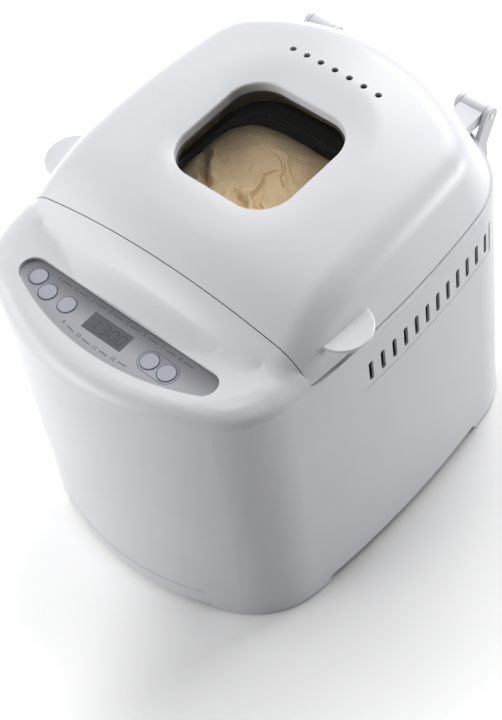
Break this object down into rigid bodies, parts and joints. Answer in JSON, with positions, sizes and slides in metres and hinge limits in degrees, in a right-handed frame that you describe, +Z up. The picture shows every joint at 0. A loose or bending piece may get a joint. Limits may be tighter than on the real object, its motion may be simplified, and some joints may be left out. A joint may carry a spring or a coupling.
{
  "type": "bread machine",
  "caption": "White domestic bread machine with a hinged domed lid, inset window, side vents, a front control deck and a lift-out kneading pan on a belt drive.",
  "frame": {"origin": "on the floor under the middle of the casing outline", "axes": "+Z up, front with the control deck towards -Y, hinge at the back on +Y, +X to the right seen from the front"},
  "size_m": [0.298, 0.3575, 0.3045],
  "materials": {
    "white_plastic": "gloss white moulded plastic",
    "base_plastic": "pale matte plastic",
    "black_rubber": "black rubber",
    "screw_steel": "zinc plated steel",
    "insert_silver": "silver grey satin insert",
    "lens_plastic": "dark display lens",
    "board_green": "green circuit board",
    "black_plastic": "black plastic",
    "button_grey": "pale blue grey caps",
    "glass": "clear flat glass",
    "gasket_rubber": "dark silicone gasket",
    "sheet_aluminium": "plain sheet",
    "sheet_steel": "plain sheet steel",
    "element_steel": "dark tubular element sheath",
    "ceramic": "white ceramic bushing",
    "spring_steel": "bright spring strip",
    "pan_coating": "dark non-stick coating on aluminium",
    "cast_aluminium": "cast, tumbled",
    "bronze": "sintered bronze",
    "shaft_steel": "ground steel",
    "dough": "soft bread dough",
    "lamination": "laminated core",
    "copper": "varnished copper windings",
    "belt_rubber": "ribbed drive belt"
  },
  "bodies": {
    "housing": {"body_shell": "white_plastic", "base_plate": "base_plastic", "rubber_feet": "black_rubber", "base_screws": "screw_steel", "top_deck": "base_plastic", "control_fascia": "white_plastic", "control_insert": "insert_silver", "display_lens": "lens_plastic", "display_module": "black_plastic", "control_board": "board_green", "tact_switches": "black_plastic", "hinge_brackets": "white_plastic", "hinge_pins": "shaft_steel", "oven_chamber": "sheet_steel", "chamber_legs": "sheet_steel", "heating_element": "element_steel", "element_bushings": "ceramic", "temperature_sensor": "shaft_steel", "pan_socket": "cast_aluminium", "socket_clips": "spring_steel", "drive_frame": "sheet_steel", "frame_screws": "screw_steel", "bearing_housing": "cast_aluminium", "bearing_bushes": "bronze", "drive_belt": "belt_rubber", "motor_stator": "lamination", "motor_windings": "copper", "motor_lower_bell": "cast_aluminium", "motor_upper_bell": "cast_aluminium", "motor_bolts": "screw_steel", "capacitor": "sheet_aluminium", "power_board": "board_green", "cord_gland": "black_rubber"},
    "lid": {"lid_shell": "white_plastic", "lid_liner": "pan_coating", "lid_screws": "screw_steel", "window_glass": "glass", "window_gasket": "gasket_rubber"},
    "pan": {"bread_pan": "pan_coating", "pan_ears": "sheet_steel", "pan_foot": "cast_aluminium", "pan_bush": "bronze", "dough": "dough"},
    "handle": {"pan_handle": "shaft_steel"},
    "paddle": {"kneading_paddle": "pan_coating", "pan_shaft": "shaft_steel", "pan_dog": "cast_aluminium"},
    "drive": {"drive_shaft": "shaft_steel", "drive_dog": "cast_aluminium", "drive_pulley": "black_plastic"},
    "motor": {"motor_rotor": "shaft_steel", "motor_pulley": "shaft_steel", "motor_fan": "black_plastic"},
    "menu_button": {"menu_button": "button_grey"},
    "colour_button": {"colour_button": "button_grey"},
    "weight_button": {"weight_button": "button_grey"},
    "time_button": {"time_button": "button_grey"},
    "start_button": {"start_button": "button_grey"}
  },
  "joints": [
    {"name": "lid_hinge", "type": "hinge", "parent": "housing", "child": "lid", "pos_m": [0, 0.174, 0.255], "axis": [-1, 0, 0], "range_deg": [0, 95]},
    {"name": "pan_lift", "type": "slide", "parent": "housing", "child": "pan", "axis": [0, 0, 1], "range_m": [0, 0.02]},
    {"name": "handle_swing", "type": "hinge", "parent": "pan", "child": "handle", "pos_m": [0, 0.028, 0.218], "axis": [-1, 0, 0], "range_deg": [0, 14]},
    {"name": "motor_spin", "type": "hinge", "parent": "housing", "child": "motor", "pos_m": [0, -0.112, 0.086], "axis": [0, 0, 1], "continuous": true},
    {"name": "drive_spin", "type": "hinge", "parent": "housing", "child": "drive", "pos_m": [0, 0.028, 0.05], "axis": [0, 0, 1], "continuous": true},
    {"name": "paddle_spin", "type": "hinge", "parent": "pan", "child": "paddle", "pos_m": [0, 0.028, 0.11], "axis": [0, 0, 1], "continuous": true},
    {"name": "menu_press", "type": "slide", "parent": "housing", "child": "menu_button", "axis": [0, 0, -1], "range_m": [0, 0.001], "stiffness_N_per_m": 600},
    {"name": "colour_press", "type": "slide", "parent": "housing", "child": "colour_button", "axis": [0, 0, -1], "range_m": [0, 0.001], "stiffness_N_per_m": 600},
    {"name": "weight_press", "type": "slide", "parent": "housing", "child": "weight_button", "axis": [0, 0, -1], "range_m": [0, 0.001], "stiffness_N_per_m": 600},
    {"name": "time_press", "type": "slide", "parent": "housing", "child": "time_button", "axis": [0, 0, -1], "range_m": [0, 0.001], "stiffness_N_per_m": 600},
    {"name": "start_press", "type": "slide", "parent": "housing", "child": "start_button", "axis": [0, 0, -1], "range_m": [0, 0.001], "stiffness_N_per_m": 600}
  ],
  "couplings": [
    {"joint": "drive_spin", "follows": "motor_spin", "ratio": 0.14},
    {"joint": "paddle_spin", "follows": "motor_spin", "ratio": 0.14}
  ]
}
